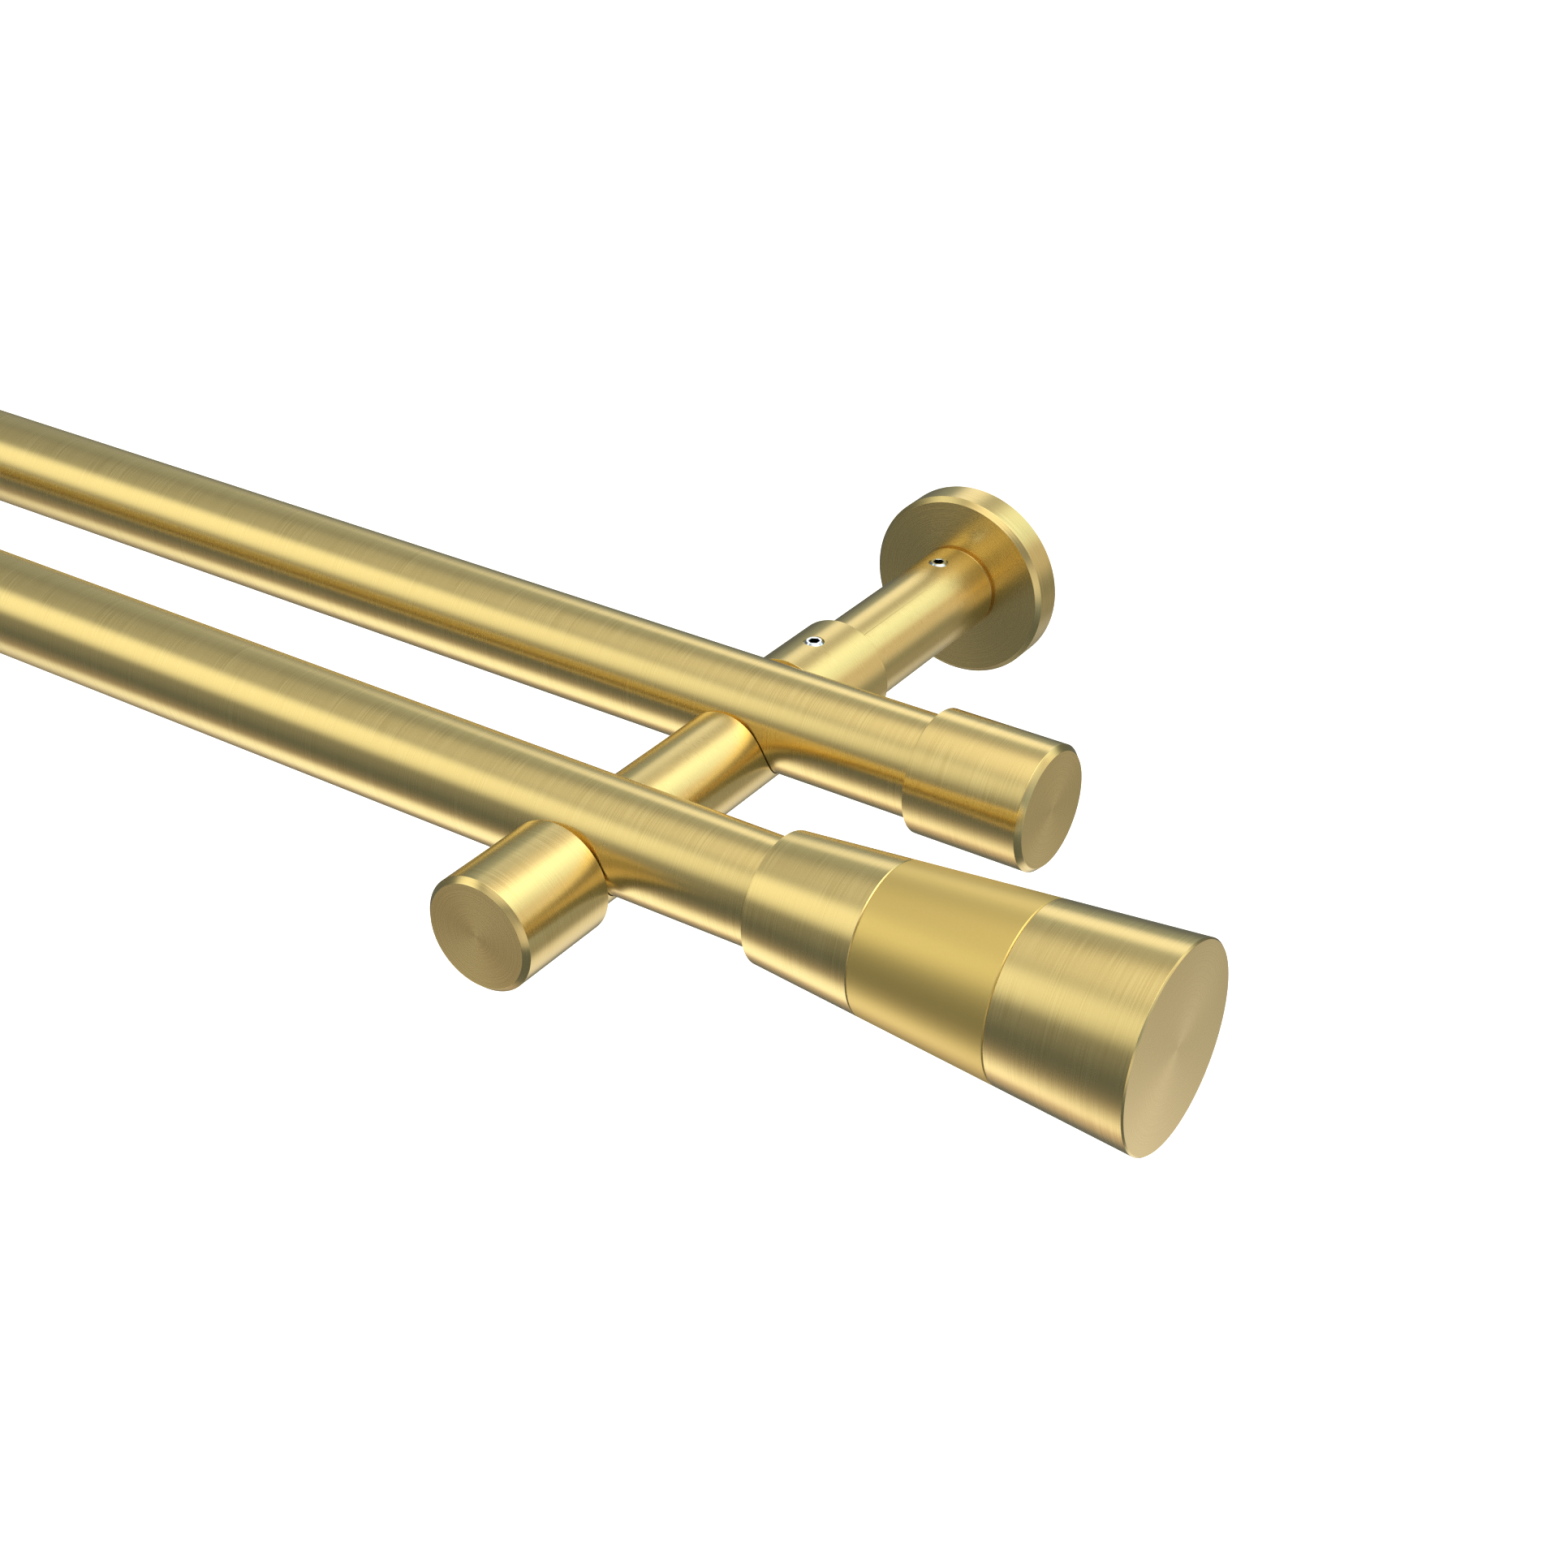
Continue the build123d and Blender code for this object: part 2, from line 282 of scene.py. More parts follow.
def brassFinish(name, marks):
    # Brass under clear lacquer, with marks that run round each piece, so highlights stretch along its axis.
    finish, tree = newFinish(name)
    uv = addNode(tree, "ShaderNodeUVMap", uv_map=brushMap)
    finePlace = addNode(tree, "ShaderNodeMapping", {
        "Vector": uv.outputs["UV"], "Scale": (1 / marks["across"], 1 / marks["along"], 1)})
    fine = addNode(tree, "ShaderNodeTexNoise", {"Vector": finePlace.outputs[0], "Scale": 1, "Detail": 0.5},
                   noise_dimensions="2D")
    patchPlace = addNode(tree, "ShaderNodeMapping", {
        "Vector": uv.outputs["UV"], "Scale": (1 / patches["across"], 1 / patches["along"], 1)})
    patch = addNode(tree, "ShaderNodeTexNoise", {"Vector": patchPlace.outputs[0], "Scale": 1, "Detail": 2},
                    noise_dimensions="2D")
    strong = addNode(tree, "ShaderNodeMapRange", {
        "Value": patch.outputs[0], "From Min": patches["from"], "From Max": patches["to"],
        "To Min": marks["calm"]})
    plain = addNode(tree, "ShaderNodeMapRange", {  # most of the noise lies in this range
        "Value": fine.outputs[0], "From Min": 0.35, "From Max": 0.65})
    mark = addNode(tree, "ShaderNodeMix", {"Factor": strong.outputs[0], "A": 0.5, "B": plain.outputs[0]})
    colour = addNode(tree, "ShaderNodeMix", {
        "Factor": mark.outputs[0], "A": linearColour(brass["between"]), "B": linearColour(brass["lit"]),
    }, data_type="RGBA")
    rough = addNode(tree, "ShaderNodeMapRange", {
        "Value": mark.outputs[0], "To Min": marks["roughness"] - marks["lift"],
        "To Max": marks["roughness"] + marks["lift"]})
    bump = addNode(tree, "ShaderNodeBump", {
        "Height": fine.outputs[0], "Strength": 1, "Distance": marks["depth"] * mm})
    tangent = addNode(tree, "ShaderNodeTangent", direction_type="UV_MAP", uv_map=brushMap)
    shader = addNode(tree, "ShaderNodeBsdfPrincipled", {
        "Metallic": 1, "Base Color": colour.outputs[2], "Roughness": rough.outputs[0],
        "Anisotropic": marks["anisotropy"], "Tangent": tangent.outputs[0], "Normal": bump.outputs[0],
    })
    addNode(tree, "ShaderNodeOutputMaterial", {"Surface": shader.outputs[0]})
    return finish


satin = {"colour": "#EFD181", "shade": "#EACC78", "roughness": 0.40, "grain": 0.35, "depth": 0.004}  # mm
chrome = {"colour": "#DDE3EA", "rubsPerMm": 1.5, "smooth": 0.05, "rubbed": 0.16}
# near-black painted shade for the screws' hexagon sockets, with a grain in its roughness
socketShade = {"colour": "#0B0D10", "grainsPerMm": 4.0, "smooth": 0.35, "rough": 0.6}
zinc = {"pale": "#C9D0D6", "grey": "#AEB7BF", "crystalsPerMm": 1.8, "smooth": 0.25, "rough": 0.4}


def satinBrassFinish():
    # Brass, fine-blasted and lacquered: no brush marks, a broad soft highlight and a yellower cast.
    finish, tree = newFinish("satinBrass")
    place = addNode(tree, "ShaderNodeTexCoord")
    grain = addNode(tree, "ShaderNodeTexNoise", {
        "Vector": place.outputs["Object"], "Scale": 1 / (satin["grain"] * mm), "Detail": 2})
    colour = addNode(tree, "ShaderNodeMix", {
        "Factor": grain.outputs[0], "A": linearColour(satin["shade"]), "B": linearColour(satin["colour"]),
    }, data_type="RGBA")
    bump = addNode(tree, "ShaderNodeBump", {
        "Height": grain.outputs[0], "Strength": 0.5, "Distance": satin["depth"] * mm})
    shader = addNode(tree, "ShaderNodeBsdfPrincipled", {
        "Metallic": 0.92, "Base Color": colour.outputs[2], "Roughness": satin["roughness"],
        "Normal": bump.outputs[0],
    })
    addNode(tree, "ShaderNodeOutputMaterial", {"Surface": shader.outputs[0]})
    return finish


def chromedSteelFinish():
    # Steel, ground and bright chromed: near-mirror with a cool tint and hairline rubs.
    finish, tree = newFinish("chromedSteel")
    place = addNode(tree, "ShaderNodeTexCoord")
    rub = addNode(tree, "ShaderNodeTexNoise", {
        "Vector": place.outputs["Object"], "Scale": chrome["rubsPerMm"] / mm, "Detail": 4})
    rough = addNode(tree, "ShaderNodeMapRange", {
        "Value": rub.outputs[0], "To Min": chrome["smooth"], "To Max": chrome["rubbed"]})
    shader = addNode(tree, "ShaderNodeBsdfPrincipled", {
        "Metallic": 1, "Base Color": linearColour(chrome["colour"]), "Roughness": rough.outputs[0],
    })
    addNode(tree, "ShaderNodeOutputMaterial", {"Surface": shader.outputs[0]})
    return finish


def paintedShadeSocketFinish():
    # Steel in the pressed hexagon, painted near-black as the shade in the recess.
    finish, tree = newFinish("paintedShadeSocket")
    place = addNode(tree, "ShaderNodeTexCoord")
    grain = addNode(tree, "ShaderNodeTexNoise", {
        "Vector": place.outputs["Object"], "Scale": socketShade["grainsPerMm"] / mm, "Detail": 3})
    rough = addNode(tree, "ShaderNodeMapRange", {
        "Value": grain.outputs[0], "To Min": socketShade["smooth"], "To Max": socketShade["rough"]})
    shader = addNode(tree, "ShaderNodeBsdfPrincipled", {
        "Metallic": 0.4, "Base Color": linearColour(socketShade["colour"]), "Roughness": rough.outputs[0],
    })
    addNode(tree, "ShaderNodeOutputMaterial", {"Surface": shader.outputs[0]})
    return finish


def zincPlatedFinish():
    # Steel, bright zinc plated: a satin, slightly blue grey with a crystalline mottle.
    finish, tree = newFinish("zincPlatedSteel")
    place = addNode(tree, "ShaderNodeTexCoord")
    mottle = addNode(tree, "ShaderNodeTexVoronoi", {
        "Vector": place.outputs["Object"], "Scale": zinc["crystalsPerMm"] / mm})
    rough = addNode(tree, "ShaderNodeMapRange", {
        "Value": mottle.outputs["Distance"], "To Min": zinc["smooth"], "To Max": zinc["rough"]})
    colour = addNode(tree, "ShaderNodeMix", {
        "Factor": mottle.outputs["Distance"], "A": linearColour(zinc["pale"]),
        "B": linearColour(zinc["grey"]),
    }, data_type="RGBA")
    shader = addNode(tree, "ShaderNodeBsdfPrincipled", {
        "Metallic": 1, "Base Color": colour.outputs[2], "Roughness": rough.outputs[0],
    })
    addNode(tree, "ShaderNodeOutputMaterial", {"Surface": shader.outputs[0]})
    return finish


brushedBrass = brassFinish("brushedBrass", brushed)  # belt-brushed while it turned: fine marks round it
facedBrass = brassFinish("facedBrass", faced)  # faced on the lathe: faint rings about the centre
sandedBrass = brassFinish("sandedBrass", sanded)  # fine-sanded: marks hardly seen, a smooth sheen
brassFinishes = (brushedBrass, facedBrass, sandedBrass)
satinBrass = satinBrassFinish()
chromedSteel, paintedShadeSocket, zincPlatedSteel = chromedSteelFinish(), paintedShadeSocketFinish(), zincPlatedFinish()
# The blacked steel listed here is the sockets' painted shade.
print("finishes: brushed and satin brass, chrome, blacked steel, zinc")


# tubes

tube = {
    "radius": 10.0, "wall": 1.0, "holdHole": 1.85, "endHole": 2.2, "endHoleFromBracket": 46.0,
    "drillBelow": 2.0, "drillAbove": 4.0,  # from the underside
}


def tubePiece(node, tubeY):
    low, high = span(node, 0)
    inner = tube["radius"] - tube["wall"]
    outline = [(low, inner), (low, tube["radius"]), (high, tube["radius"]), (high, inner)]
    mesh = turnedMesh(node, outline, (1, 0, 0), (0, tubeY, tubeZ))
    piece = addObject(node.replace("_", "") + "Brushed", mesh)
    underside = tubeZ - tube["radius"]
    drillFrom, drillTo = underside - tube["drillBelow"], underside + tube["drillAbove"]
    endX = bracketX + tube["endHoleFromBracket"]
    holes = []
    for side in sides.values():
        for x, radius in ((bracketX, tube["holdHole"]), (endX, tube["endHole"])):
            holes.append(holeMesh(radius, (side * x, tubeY), drillFrom, drillTo))
    markFinishes(cut(piece, holes), 0)
    return finishPiece(piece, node, 1, brassFinishes)


def holeMesh(radius, place, low, high):
    # An upright cutter at place, from height low to high.
    outline = [(low, 0), (low, radius), (high, radius), (high, 0)]
    return turnedMesh("hole", outline, (0, 0, 1), (*place, 0), cutterEdge, around=48)


tubePiece("front_tube", frontY)
tubePiece("rear_tube", rearY)
print("tubes done")


# bracket: flange, stem and arm, turned about Y

flange = {
    "radius": 20.0, "thickness": 7.0, "chamfer": 1.0, "boss": 8.5, "bossHeight": 0.8, "spigot": 6.9,
    "spigotLength": 16.0, "spigotChamfer": 0.6, "groove": 6.15, "grooveHalf": 2.2, "hole": 2.75,
    "holeLength": 3.5, "headBore": 5.0,
}
stem = {
    "radius": 9.0, "wall": 2.0, "screwToWall": 15.0, "flatHeight": 8.15, "flatEnd": 59.8, "flatPast": 1.0,
}
arm = {
    "head": 11.0, "headLength": 22.0, "headChamfer": 1.0, "bar": 9.0, "notch": 10.2, "sleeve": 11.0,
    "sleeveWeb": 4.0, "bore": 9.1, "screwHole": 2.05, "screwHead": 3.5, "screwShank": 1.85,
    "screwRecess": 0.9, "troughSteps": 64, "troughPast": 4.0, "sinkPast": 2.0,
}


def flangePiece():
    face, bossFace = -flange["thickness"], -flange["thickness"] - flange["bossHeight"]
    tip = bossFace - flange["spigotLength"]
    screwY, half = -stem["screwToWall"], flange["grooveHalf"]
    slope = flange["spigot"] - flange["groove"]
    cone = flange["headBore"] - flange["hole"]
    outline = [
        (0, flange["hole"]), (0, flange["radius"]), (face + flange["chamfer"], flange["radius"]),
        (face, flange["radius"] - flange["chamfer"]), (face, flange["boss"]), (bossFace, flange["boss"]),
        (bossFace, flange["spigot"]), (screwY + half + slope, flange["spigot"]),
        (screwY + half, flange["groove"]), (screwY - half, flange["groove"]),
        (screwY - half - slope, flange["spigot"]),
        (tip + flange["spigotChamfer"], flange["spigot"]), (tip, flange["spigot"] - flange["spigotChamfer"]),
        (tip, flange["headBore"]), (-flange["holeLength"] - cone, flange["headBore"]),
        (-flange["holeLength"], flange["hole"]),
    ]
    mesh = turnedMesh("flange", outline, (0, 1, 0), (bracketX, 0, 0), around=fineAround)
    return markFinishes(addObject("wallFlange", mesh), 1)


def stemPiece():
    front, back = span("stem_right", 1)
    inner = stem["radius"] - stem["wall"]
    outline = [(back, inner), (back, stem["radius"]), (front, stem["radius"]), (front, inner)]
    piece = addObject("stem", turnedMesh("stem", outline, (0, 1, 0), (bracketX, 0, 0)))
    hole = holeMesh(arm["screwHole"], (bracketX, -stem["screwToWall"]), 0, stem["radius"] + past)
    top, width = stem["flatHeight"], stem["radius"] + stem["flatPast"]
    flatStart, flatEnd = front - stem["flatPast"], -stem["flatEnd"]
    flatMiddle, flatReach = (flatStart + flatEnd) / 2, (flatEnd - flatStart) / 2
    section = [(-width, 0, top), (width, 0, top), (width, 0, top + width), (-width, 0, top + width)]
    flat = prismMesh("flat", section, (0, 1, 0), np.array((bracketX, flatMiddle, 0)), flatReach)
    return markFinishes(cut(piece, [hole, flat]), 1, front)


def armPiece():
    face, sleeveBack = span("bracket_arm_right", 1)
    headBack = face + arm["headLength"]
    sleeveFront = rearY + arm["notch"]
    boreEnd = sleeveFront + arm["sleeveWeb"]
    outline = [
        (face, 0), (face, arm["head"] - arm["headChamfer"]), (face + arm["headChamfer"], arm["head"]),
        (headBack, arm["head"]), (headBack, arm["bar"]), (sleeveFront, arm["bar"]),
        (sleeveFront, arm["sleeve"]), (sleeveBack, arm["sleeve"]), (sleeveBack, arm["bore"]),
        (boreEnd, arm["bore"]), (boreEnd, 0),
    ]
    mesh = turnedMesh("arm", outline, (0, 1, 0), (bracketX, 0, 0), around=fineAround)
    piece = addObject("bracketArm", mesh)
    cutters = []
    for tubeY in (frontY, rearY):
        angle = np.linspace(math.pi, 2 * math.pi, arm["troughSteps"] + 1)
        across, height = arm["notch"] * np.cos(angle), arm["notch"] * np.sin(angle)
        trough = np.stack([0 * across, across, height], 1)
        top = arm["head"] + arm["troughPast"]
        section = np.concatenate([trough, [(0, arm["notch"], top), (0, -arm["notch"], top)]])
        notchMiddle = np.array((bracketX, tubeY, tubeZ))
        cutters.append(prismMesh("notch", section, (1, 0, 0), notchMiddle, arm["head"]))
        below, under = -arm["bar"] - arm["sinkPast"], -arm["bar"] + arm["screwRecess"]
        neck = under + arm["screwHead"] - arm["screwShank"]
        sink = [(below, 0), (below, arm["screwHead"]), (under, arm["screwHead"]), (neck, arm["screwShank"]),
                (tubeZ, arm["screwShank"]), (tubeZ, 0)]
        cutters.append(turnedMesh("sink", sink, (0, 0, 1), (bracketX, tubeY, 0), cutterEdge, around=64))
    screwY = (sleeveFront + sleeveBack) / 2
    cutters.append(holeMesh(arm["screwHole"], (bracketX, screwY), 0, arm["sleeve"] + past))
    return markFinishes(cut(piece, cutters), 1, headBack)


for sideName, side in sides.items():
    for build, node in ((flangePiece, "wall_flange"), (stemPiece, "stem"), (armPiece, "bracket_arm")):
        piece = build()
        piece.name = piece.name.split(".")[0] + sideName.capitalize()
        finishPiece(piece, f"{node}_{sideName}", side, brassFinishes)
print("brackets done")


# finials and caps, turned about X

finial = {
    "startRadius": 12.0, "endRadius": 18.0, "socket": 10.1, "socketDepth": 16.0, "studHole": 3.1,
    "studInTip": 12.0, "seam": 0.2, "seamDepth": 0.12, "edge": 0.04, "rim": 0.3,
}
cap = {"radius": 12.0, "chamfer": 1.0, "edge": 0.1}
endScrew = {"inset": 6.0, "drillDepth": 20.0}


def coneRadius(place):
    start, end = span("finial_base_right", 0)[0], span("finial_tip_right", 0)[1]
    growth = (finial["endRadius"] - finial["startRadius"]) / (end - start)
    return finial["startRadius"] + growth * (place - start)


def undersideHole(start, tubeY):
    place = (start + endScrew["inset"], tubeY)
    return holeMesh(arm["screwHole"], place, tubeZ - endScrew["drillDepth"], tubeZ)


def finialBase():
    start, end = span("finial_base_right", 0)
    seam, seamDepth, bottom = finial["seam"], finial["seamDepth"], start + finial["socketDepth"]
    outline = [
        (start, finial["socket"]), (start, coneRadius(start)), (end - seam, coneRadius(end - seam)),
        (end, coneRadius(end) - seamDepth), (end, finial["studHole"]), (bottom, finial["studHole"]),
        (bottom, finial["socket"]),
    ]
    mesh = turnedMesh("finialBase", outline, (1, 0, 0), (0, frontY, tubeZ), finial["edge"], fineAround)
    return markFinishes(cut(addObject("finialBase", mesh), [undersideHole(start, frontY)]), 0)


def finialBand():
    start, end = span("finial_band_right", 0)
    seam, seamDepth = finial["seam"], finial["seamDepth"]
    outline = [
        (start, finial["studHole"]), (start, coneRadius(start) - seamDepth),
        (start + seam, coneRadius(start + seam)), (end - seam, coneRadius(end - seam)),
        (end, coneRadius(end) - seamDepth), (end, finial["studHole"]),
    ]
    mesh = turnedMesh("finialBand", outline, (1, 0, 0), (0, frontY, tubeZ), finial["edge"], fineAround)
    return addObject("finialBand", mesh)


def finialTip():
    start, end = span("finial_tip_right", 0)
    seam, seamDepth, rim = finial["seam"], finial["seamDepth"], finial["rim"]
    bottom = start + finial["studInTip"]
    outline = [
        (bottom, 0), (bottom, finial["studHole"]), (start, finial["studHole"]),
        (start, coneRadius(start) - seamDepth), (start + seam, coneRadius(start + seam)),
        (end - rim, coneRadius(end - rim)), (end, coneRadius(end) - rim), (end, 0),
    ]
    mesh = turnedMesh("finialTip", outline, (1, 0, 0), (0, frontY, tubeZ), finial["edge"], fineAround)
    return markFinishes(addObject("finialTip", mesh), 0)


def endCap():
    start, end = span("end_cap_right", 0)
    bottom = start + finial["socketDepth"]
    outline = [
        (bottom, 0), (bottom, finial["socket"]), (start, finial["socket"]), (start, cap["radius"]),
        (end - cap["chamfer"], cap["radius"]), (end, cap["radius"] - cap["chamfer"]), (end, 0),
    ]
    mesh = turnedMesh("endCap", outline, (1, 0, 0), (0, rearY, tubeZ), cap["edge"], fineAround)
    return markFinishes(cut(addObject("endCap", mesh), [undersideHole(start, rearY)]), 0)


for sideName, side in sides.items():
    for build, node, finishes, slotName in (
        (finialBase, "finial_base", brassFinishes, "brushed_brass"),
        (finialBand, "finial_band", (satinBrass,), "satin_brass"),
        (finialTip, "finial_tip", brassFinishes, "brushed_brass"),
        (endCap, "end_cap", brassFinishes, "brushed_brass"),
    ):
        piece = build()
        piece.name = piece.name.split(".")[0] + sideName.capitalize()
        finishPiece(piece, f"{node}_{sideName}", side, finishes)
print("finials and caps done")


# screws

screw = {
    "radius": 2.0, "length": 3.0, "chamfer": 0.5, "flats": 2.0, "socketDepth": 1.5, "pitch": 0.7,
    "threadDepth": 0.40, "runOut": 0.35, "crest": 0.06, "lip": 0.06, "around": 96, "steps": 61,
    "centre": 0.02,  # the innermost rings, as a share of the ring beside them
    "sharpAngle": 30,  # degrees
}


def setScrewMesh(name, top, up):
    # Rings from the middle of the socket's floor up, over the rim and down:
    # point(i, a) = top + depth[i] * down + radius[i](a) * (cos a * Y - sin a * X).
    # In the socket the radius is the hexagon's, flats / 2 / cos(folded), where folded is the angle from the
    # nearest flat's middle and the corners lie along Y. Outside it is the least of the two chamfers and the
    # thread, radius + crest - threadDepth * |2 frac(depth / pitch - a) - 1|, whose groove grows from
    # nothing below the chamfer.
    around, lip = screw["around"], screw["lip"]
    angle = np.linspace(0, 2 * math.pi, around + 1)[:-1]
    folded = angle % (math.pi / 3) - math.pi / 6
    hexagon = screw["flats"] / 2 / np.cos(folded)
    depth = np.linspace(0, screw["length"], screw["steps"])[:, None]
    rim = screw["radius"] - screw["chamfer"]
    turn = (depth / screw["pitch"] - angle / (2 * math.pi)) % 1
    runOut = np.clip((depth - screw["chamfer"]) / screw["runOut"], 0, 1)
    thread = screw["radius"] + screw["crest"] - runOut * screw["threadDepth"] * np.abs(2 * turn - 1)
    shank = np.minimum.reduce([thread, rim + depth + 0 * thread, rim + screw["length"] - depth + 0 * thread,
                               screw["radius"] + 0 * thread])
    inner = [hexagon * screw["centre"], hexagon, hexagon, hexagon + lip]
    radius = np.concatenate([inner, shank, [shank[-1] * screw["centre"]]])
    depths = np.concatenate([[screw["socketDepth"]] * 2, [lip, 0], depth[:, 0], [screw["length"]]])
    rays = np.stack([-np.sin(angle), np.cos(angle), 0 * angle], 1)
    vertices = top + radius[:, :, None] * rays - depths[:, None, None] * np.array((0, 0, up))
    rows, columns = np.arange(len(radius) - 1)[:, None], np.arange(around)[None, :]
    ahead = (columns + 1) % around
    quads = np.stack([rows * around + columns, rows * around + ahead, (rows + 1) * around + ahead,
                      (rows + 1) * around + columns], -1).reshape(-1, 4).tolist()
    last = (len(radius) - 1) * around
    ends = [list(range(around)), list(range(last, last + around))[::-1]]
    mesh = meshFrom(name, vertices.reshape(-1, 3) * mm, quads + ends, None)
    kind = np.zeros(len(mesh.polygons), np.int32)
    kind[:2 * around] = kind[len(quads)] = 1  # the socket's floor and walls, in painted shade
    return mesh, kind


def setScrewPiece(node, up):
    low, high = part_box(node)
    centre = middle(node) / mm
    centre[2] = (high.z if up > 0 else low.z) / mm
    mesh, kind = setScrewMesh(node, centre, up)
    name = "".join(part.capitalize() for part in node.split("_"))
    piece = addObject(name[0].lower() + name[1:] + "Hexagon", mesh)
    mesh.polygons.foreach_set("use_smooth", np.ones(len(mesh.polygons), bool))
    mesh.set_sharp_from_angle(angle=math.radians(screw["sharpAngle"]))
    mesh.materials.append(chromedSteel)
    mesh.materials.append(paintedShadeSocket)
    mesh.polygons.foreach_set("material_index", kind)
    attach(piece, "root")
    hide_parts(node)


for sideName, side in sides.items():
    for node, up in (("stem_screw", 1), ("sleeve_screw", 1), ("finial_screw", -1), ("cap_screw", -1)):
        setScrewPiece(f"{node}_{sideName}", up)
    for node in ("front_hold_screw", "rear_hold_screw", "finial_stud"):
        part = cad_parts[f"{node}_{sideName}"]
        part.data.materials.clear()
        part.data.materials.append(zincPlatedSteel)
print("screws done")


# studio

studio = {
    "floorDepth": 2300.0,  # mm below the arms, as in a room
    "floorReach": 14000.0,
    "floorPaint": "#F2F0EC",
    "floorGlow": 0.7,  # with the light that falls on it, white in the picture
    "dim": (0.13, 0.15, 0.16),
    "lamps": [  # azimuth and elevation in degrees, full to this angle, gone at that angle, colour
        ("overhead", 80, 72, 10, 42, (1.28, 1.30, 1.08)),
        ("overheadCore", 80, 72, 0, 26, (0.30, 0.42, 0.46)),
        ("overheadWash", 80, 60, 0, 60, (0.34, 0.31, 0.28)),
        ("overheadLeft", -100, 78, 0, 32, (0.74, 0.69, 0.59)),
        ("overheadBack", 0, 66, 0, 28, (0.50, 0.40, 0.35)),
        ("leftHigh", -116, 46, 0, 20, (0.20, 0.21, 0.20)),
        ("backRight", 24, 37, 0, 25, (0.84, 1.02, 0.98)),
        ("backRightLow", 48, 14, 0, 25, (0.64, 0.54, 0.42)),
        ("frontLeft", -128, 29, 5, 24, (1.13, 1.14, 0.98)),
        ("frontLeftWash", -136, 22, 0, 42, (0.15, 0.14, 0.12)),
        ("backLeft", -28, 27, 3, 14, (1.08, 1.03, 1.00)),
        ("backLeftWash", -24, 26, 0, 36, (0.23, 0.26, 0.25)),
        ("leftWash", -62, 42, 0, 34, (0.08, 0.09, 0.10)),
        ("rightWash", 84, -4, 5, 44, (0.32, 0.40, 0.50)),
        ("frontRight", 172, 56, 0, 32, (0.72, 0.68, 0.62)),
        ("frontRightLow", 130, -4, 0, 25, (0.78, 0.70, 0.62)),
        ("frontRightMid", 152, 15, 0, 18, (0.42, 0.38, 0.34)),
        ("poolLeft", -112, -52, 3, 19, (0.78, 0.96, 1.02)),
        ("poolLeftRim", -116, -54, 5, 25, (0.30, 0.25, 0.21)),
        ("poolLeftWash", -112, -54, 0, 40, (0.28, 0.20, 0.15)),
        ("poolLeftLow", -108, -72, 0, 22, (0.24, 0.20, 0.17)),
        ("poolRight", 25, -57, 5, 27, (0.92, 0.89, 0.90)),
        ("poolRightUpper", 31, -33, 0, 18, (0.14, 0.12, 0.10)),
        ("poolRightWash", 44, -16, 0, 34, (0.13, 0.10, 0.04)),
    ],
}


def direction(azimuth, elevation):
    # azimuth 0 looks along +Y and 90 along +X
    a, e = math.radians(azimuth), math.radians(elevation)
    return (math.sin(a) * math.cos(e), math.cos(a) * math.cos(e), math.sin(e))


def glowSum(tree, vector, glows, base):
    # Sum of soft round glows: each is its colour times a smooth step of the angle to its direction.
    total = addNode(tree, "ShaderNodeCombineXYZ", {"X": base[0], "Y": base[1], "Z": base[2]}).outputs[0]
    for name, azimuth, elevation, full, gone, colour in glows:
        facing = addNode(tree, "ShaderNodeVectorMath", {0: vector, 1: direction(azimuth, elevation)},
                         operation="DOT_PRODUCT", label=name)
        step = addNode(tree, "ShaderNodeMapRange", {
            "Value": facing.outputs["Value"], "From Min": math.cos(math.radians(gone)),
            "From Max": math.cos(math.radians(full))}, interpolation_type="SMOOTHSTEP")
        glow = addNode(tree, "ShaderNodeVectorMath", {0: colour, "Scale": step.outputs[0]}, operation="SCALE")
        both = addNode(tree, "ShaderNodeVectorMath", {0: total, 1: glow.outputs[0]}, operation="ADD")
        total = both.outputs[0]
    return total


def buildWorld():
    # White to the camera; to everything else a dim room with soft lamps in it.
    world = bpy.data.worlds.new("studioRoom")
    scene.world = world
    world.use_nodes = True
    tree = world.node_tree
    tree.nodes.clear()
    place = addNode(tree, "ShaderNodeTexCoord")
    room = glowSum(tree, place.outputs["Generated"], studio["lamps"], studio["dim"])
    path = addNode(tree, "ShaderNodeLightPath")
    seen = addNode(tree, "ShaderNodeMix", {
        "Factor": path.outputs["Is Camera Ray"], "A": room, "B": (1, 1, 1)}, data_type="VECTOR")
    light = addNode(tree, "ShaderNodeBackground", {"Color": seen.outputs[1], "Strength": 1})
    addNode(tree, "ShaderNodeOutputWorld", {"Surface": light.outputs[0]})


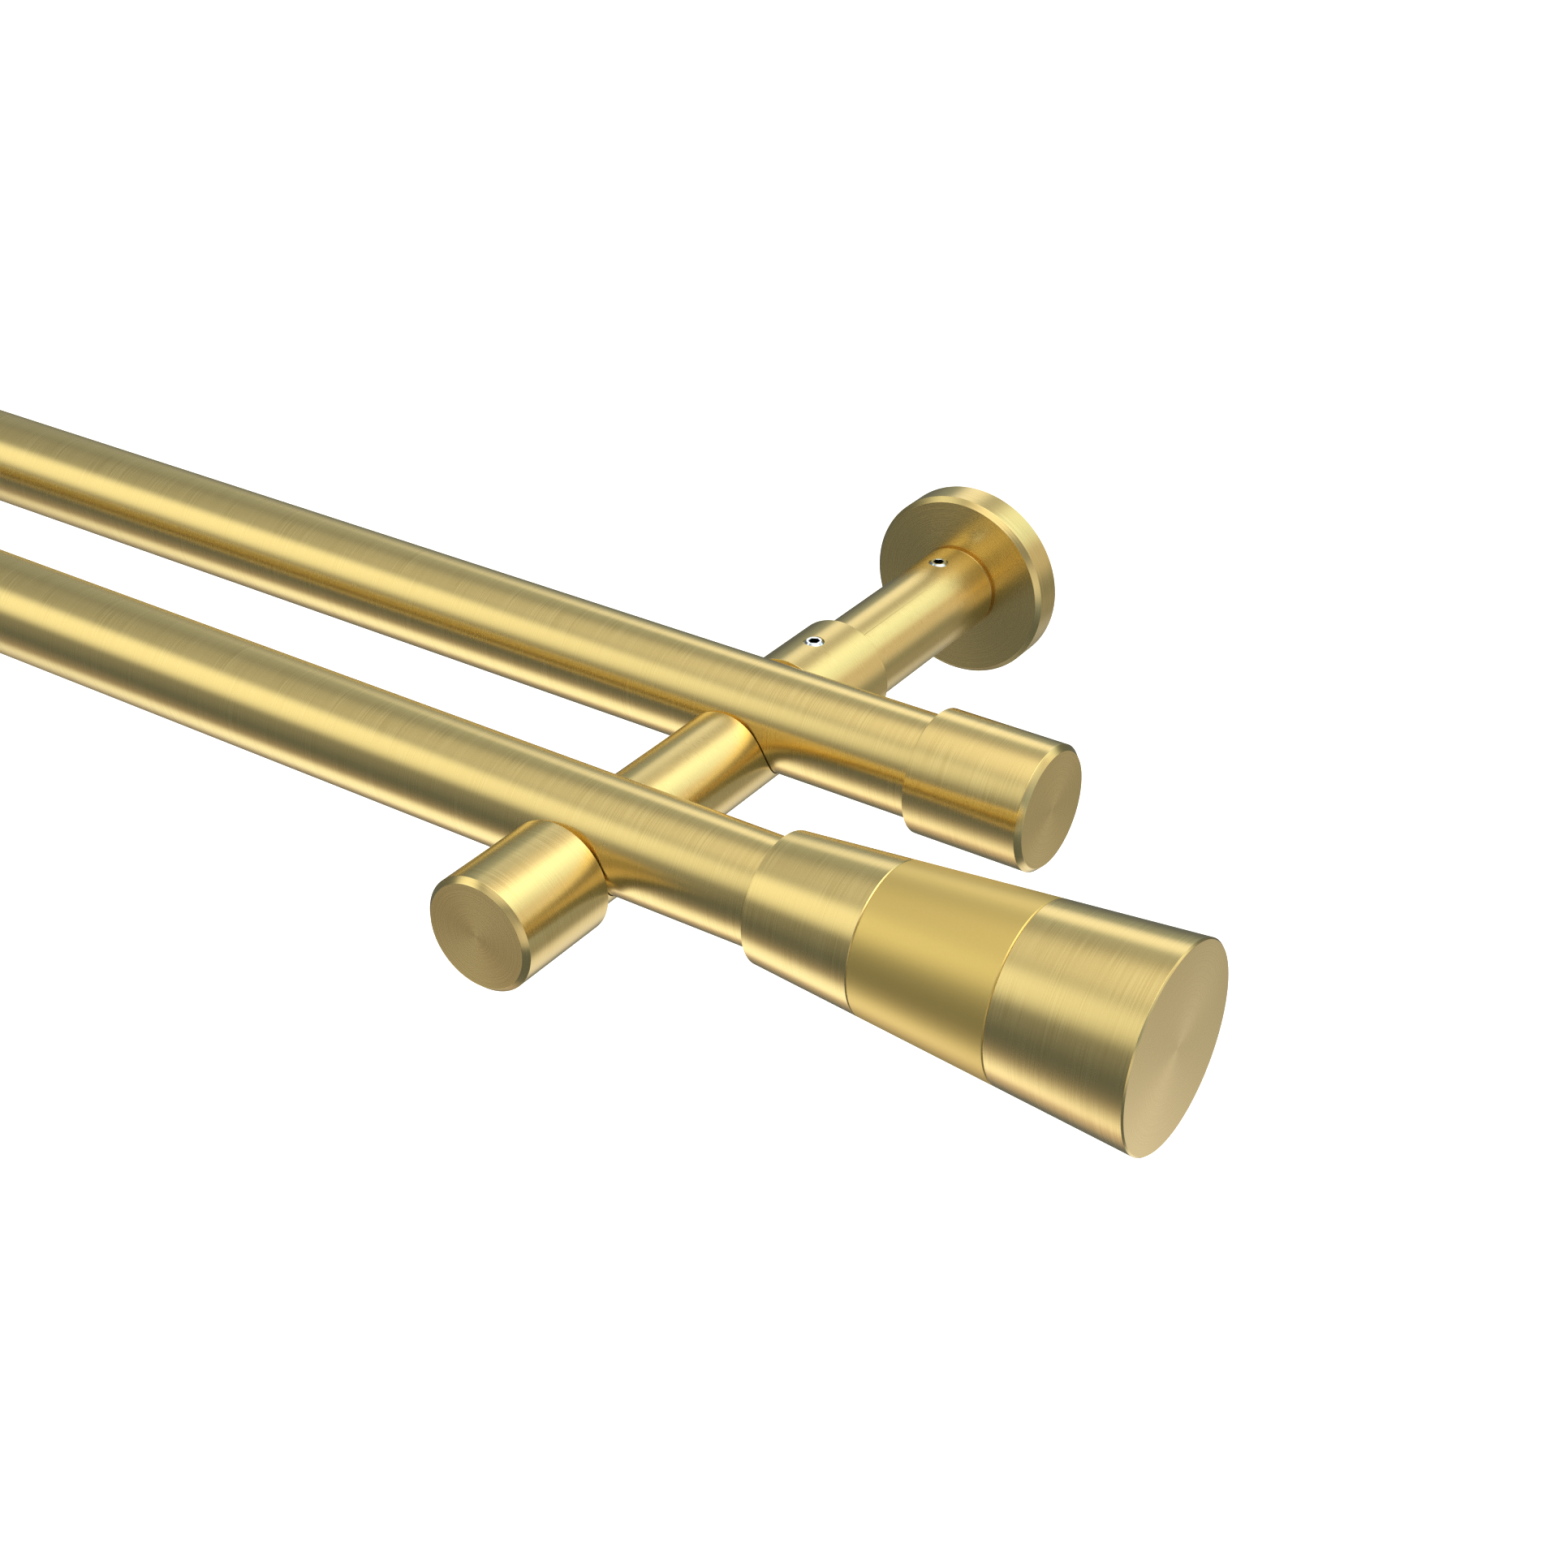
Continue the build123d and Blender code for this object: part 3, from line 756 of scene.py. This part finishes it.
def buildFloor():
    # Pale floor, white to the camera; metal shows it as a dim floor with pools of lamp light.
    reach, depth = studio["floorReach"] * mm, -studio["floorDepth"] * mm
    corners = [(-reach, -reach, depth), (reach, -reach, depth), (reach, reach, depth), (-reach, reach, depth)]
    mesh = bpy.data.meshes.new("floor")
    mesh.from_pydata(corners, [], [(0, 1, 2, 3)])
    floor = addObject("floor", mesh)
    finish, tree = newFinish("paleFloor")
    place = addNode(tree, "ShaderNodeTexCoord")
    aim = addNode(tree, "ShaderNodeVectorMath", {
        0: place.outputs["Object"], 1: (bracketX * mm, frontY * mm, 0)}, operation="SUBTRACT")
    ray = addNode(tree, "ShaderNodeVectorMath", {0: aim.outputs[0]}, operation="NORMALIZE")
    pools = glowSum(tree, ray.outputs[0], studio["lamps"], studio["dim"])
    path = addNode(tree, "ShaderNodeLightPath")
    mirrored = addNode(tree, "ShaderNodeMath", {
        0: path.outputs["Is Glossy Ray"], 1: path.outputs["Is Transmission Ray"]}, operation="MAXIMUM")
    inMetal = addNode(tree, "ShaderNodeVectorMath", {0: pools, "Scale": mirrored.outputs[0]},
                      operation="SCALE")
    seen = addNode(tree, "ShaderNodeMix", {
        "Factor": path.outputs["Is Camera Ray"], "A": inMetal.outputs[0], "B": [studio["floorGlow"]] * 3,
    }, data_type="VECTOR")
    glow = addNode(tree, "ShaderNodeEmission", {"Color": seen.outputs[1], "Strength": 1})
    lit = addNode(tree, "ShaderNodeBsdfDiffuse", {"Color": linearColour(studio["floorPaint"])})
    black = addNode(tree, "ShaderNodeBsdfDiffuse", {"Color": (0, 0, 0, 1)})
    paint = addNode(tree, "ShaderNodeMixShader", {
        0: mirrored.outputs[0], 1: lit.outputs[0], 2: black.outputs[0]})
    both = addNode(tree, "ShaderNodeAddShader", {0: paint.outputs[0], 1: glow.outputs[0]})
    addNode(tree, "ShaderNodeOutputMaterial", {"Surface": both.outputs[0]})
    finish.cycles.emission_sampling = "NONE"  # it shows in metal only, so no shadow rays are aimed at it
    mesh.materials.append(finish)


view = {
    "lens": 55.92, "sensor": 36,  # mm
    "nearest": 0.01, "farthest": 60,  # m
    "fromArm": (230.557, -280.174, 228.661),  # mm from the front tube's middle above the right arm
    "azimuth": 145.841, "elevation": 31.331,  # direction back from the picture to the camera
}


def buildCamera():
    # Near the right end, looking back along the tubes and down to the wall.
    camera = bpy.data.objects.new("camera", bpy.data.cameras.new("camera"))
    scene.collection.objects.link(camera)
    camera.data.lens, camera.data.sensor_width = view["lens"], view["sensor"]
    camera.data.clip_start, camera.data.clip_end = view["nearest"], view["farthest"]
    back = Vector(direction(view["azimuth"], view["elevation"]))
    camera.location = (Vector((bracketX, frontY, tubeZ)) + Vector(view["fromArm"])) * mm
    camera.rotation_euler = (-back).to_track_quat("-Z", "Y").to_euler()
    scene.camera = camera


buildWorld()
buildFloor()
buildCamera()
print("studio done")
